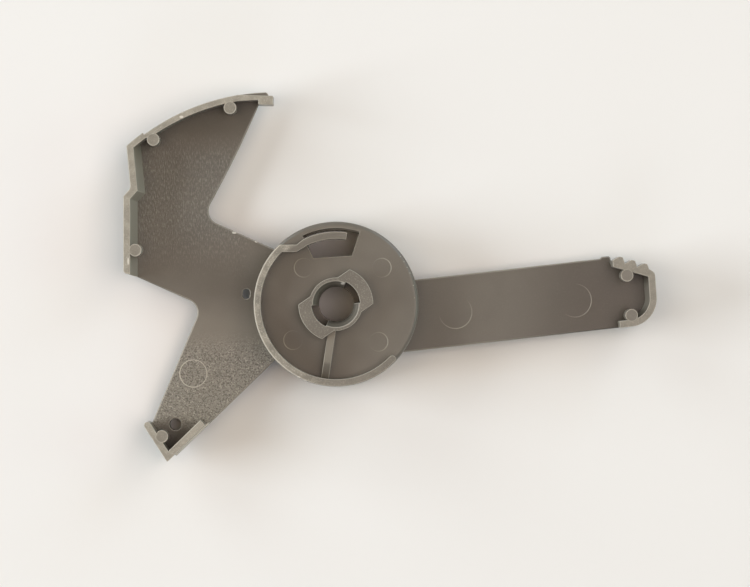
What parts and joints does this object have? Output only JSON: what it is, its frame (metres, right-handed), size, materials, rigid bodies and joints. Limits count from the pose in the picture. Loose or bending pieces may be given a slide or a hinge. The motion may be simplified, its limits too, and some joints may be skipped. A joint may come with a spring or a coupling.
{
  "type": "dispenser lever",
  "caption": "Moulded plastic dispenser lever: a hollow hub with a bored, lugged boss, a long arm with a toothed finger end, a hooked arm and a short arm.",
  "frame": {"origin": "on the hub's axis, in the plane of the hub's foot", "axes": "+Z along the hub's axis from its foot towards the locking lugs; +X towards the end of the long arm, which is 6.5 degrees anticlockwise of it; +Y towards the hooked arm's tip"},
  "size_m": [0.1304, 0.0905, 0.0193],
  "materials": {
    "lever": "satin, spark-eroded grain on the left arms"
  },
  "bodies": {
    "root": {"lever": "lever"}
  },
  "joints": []
}
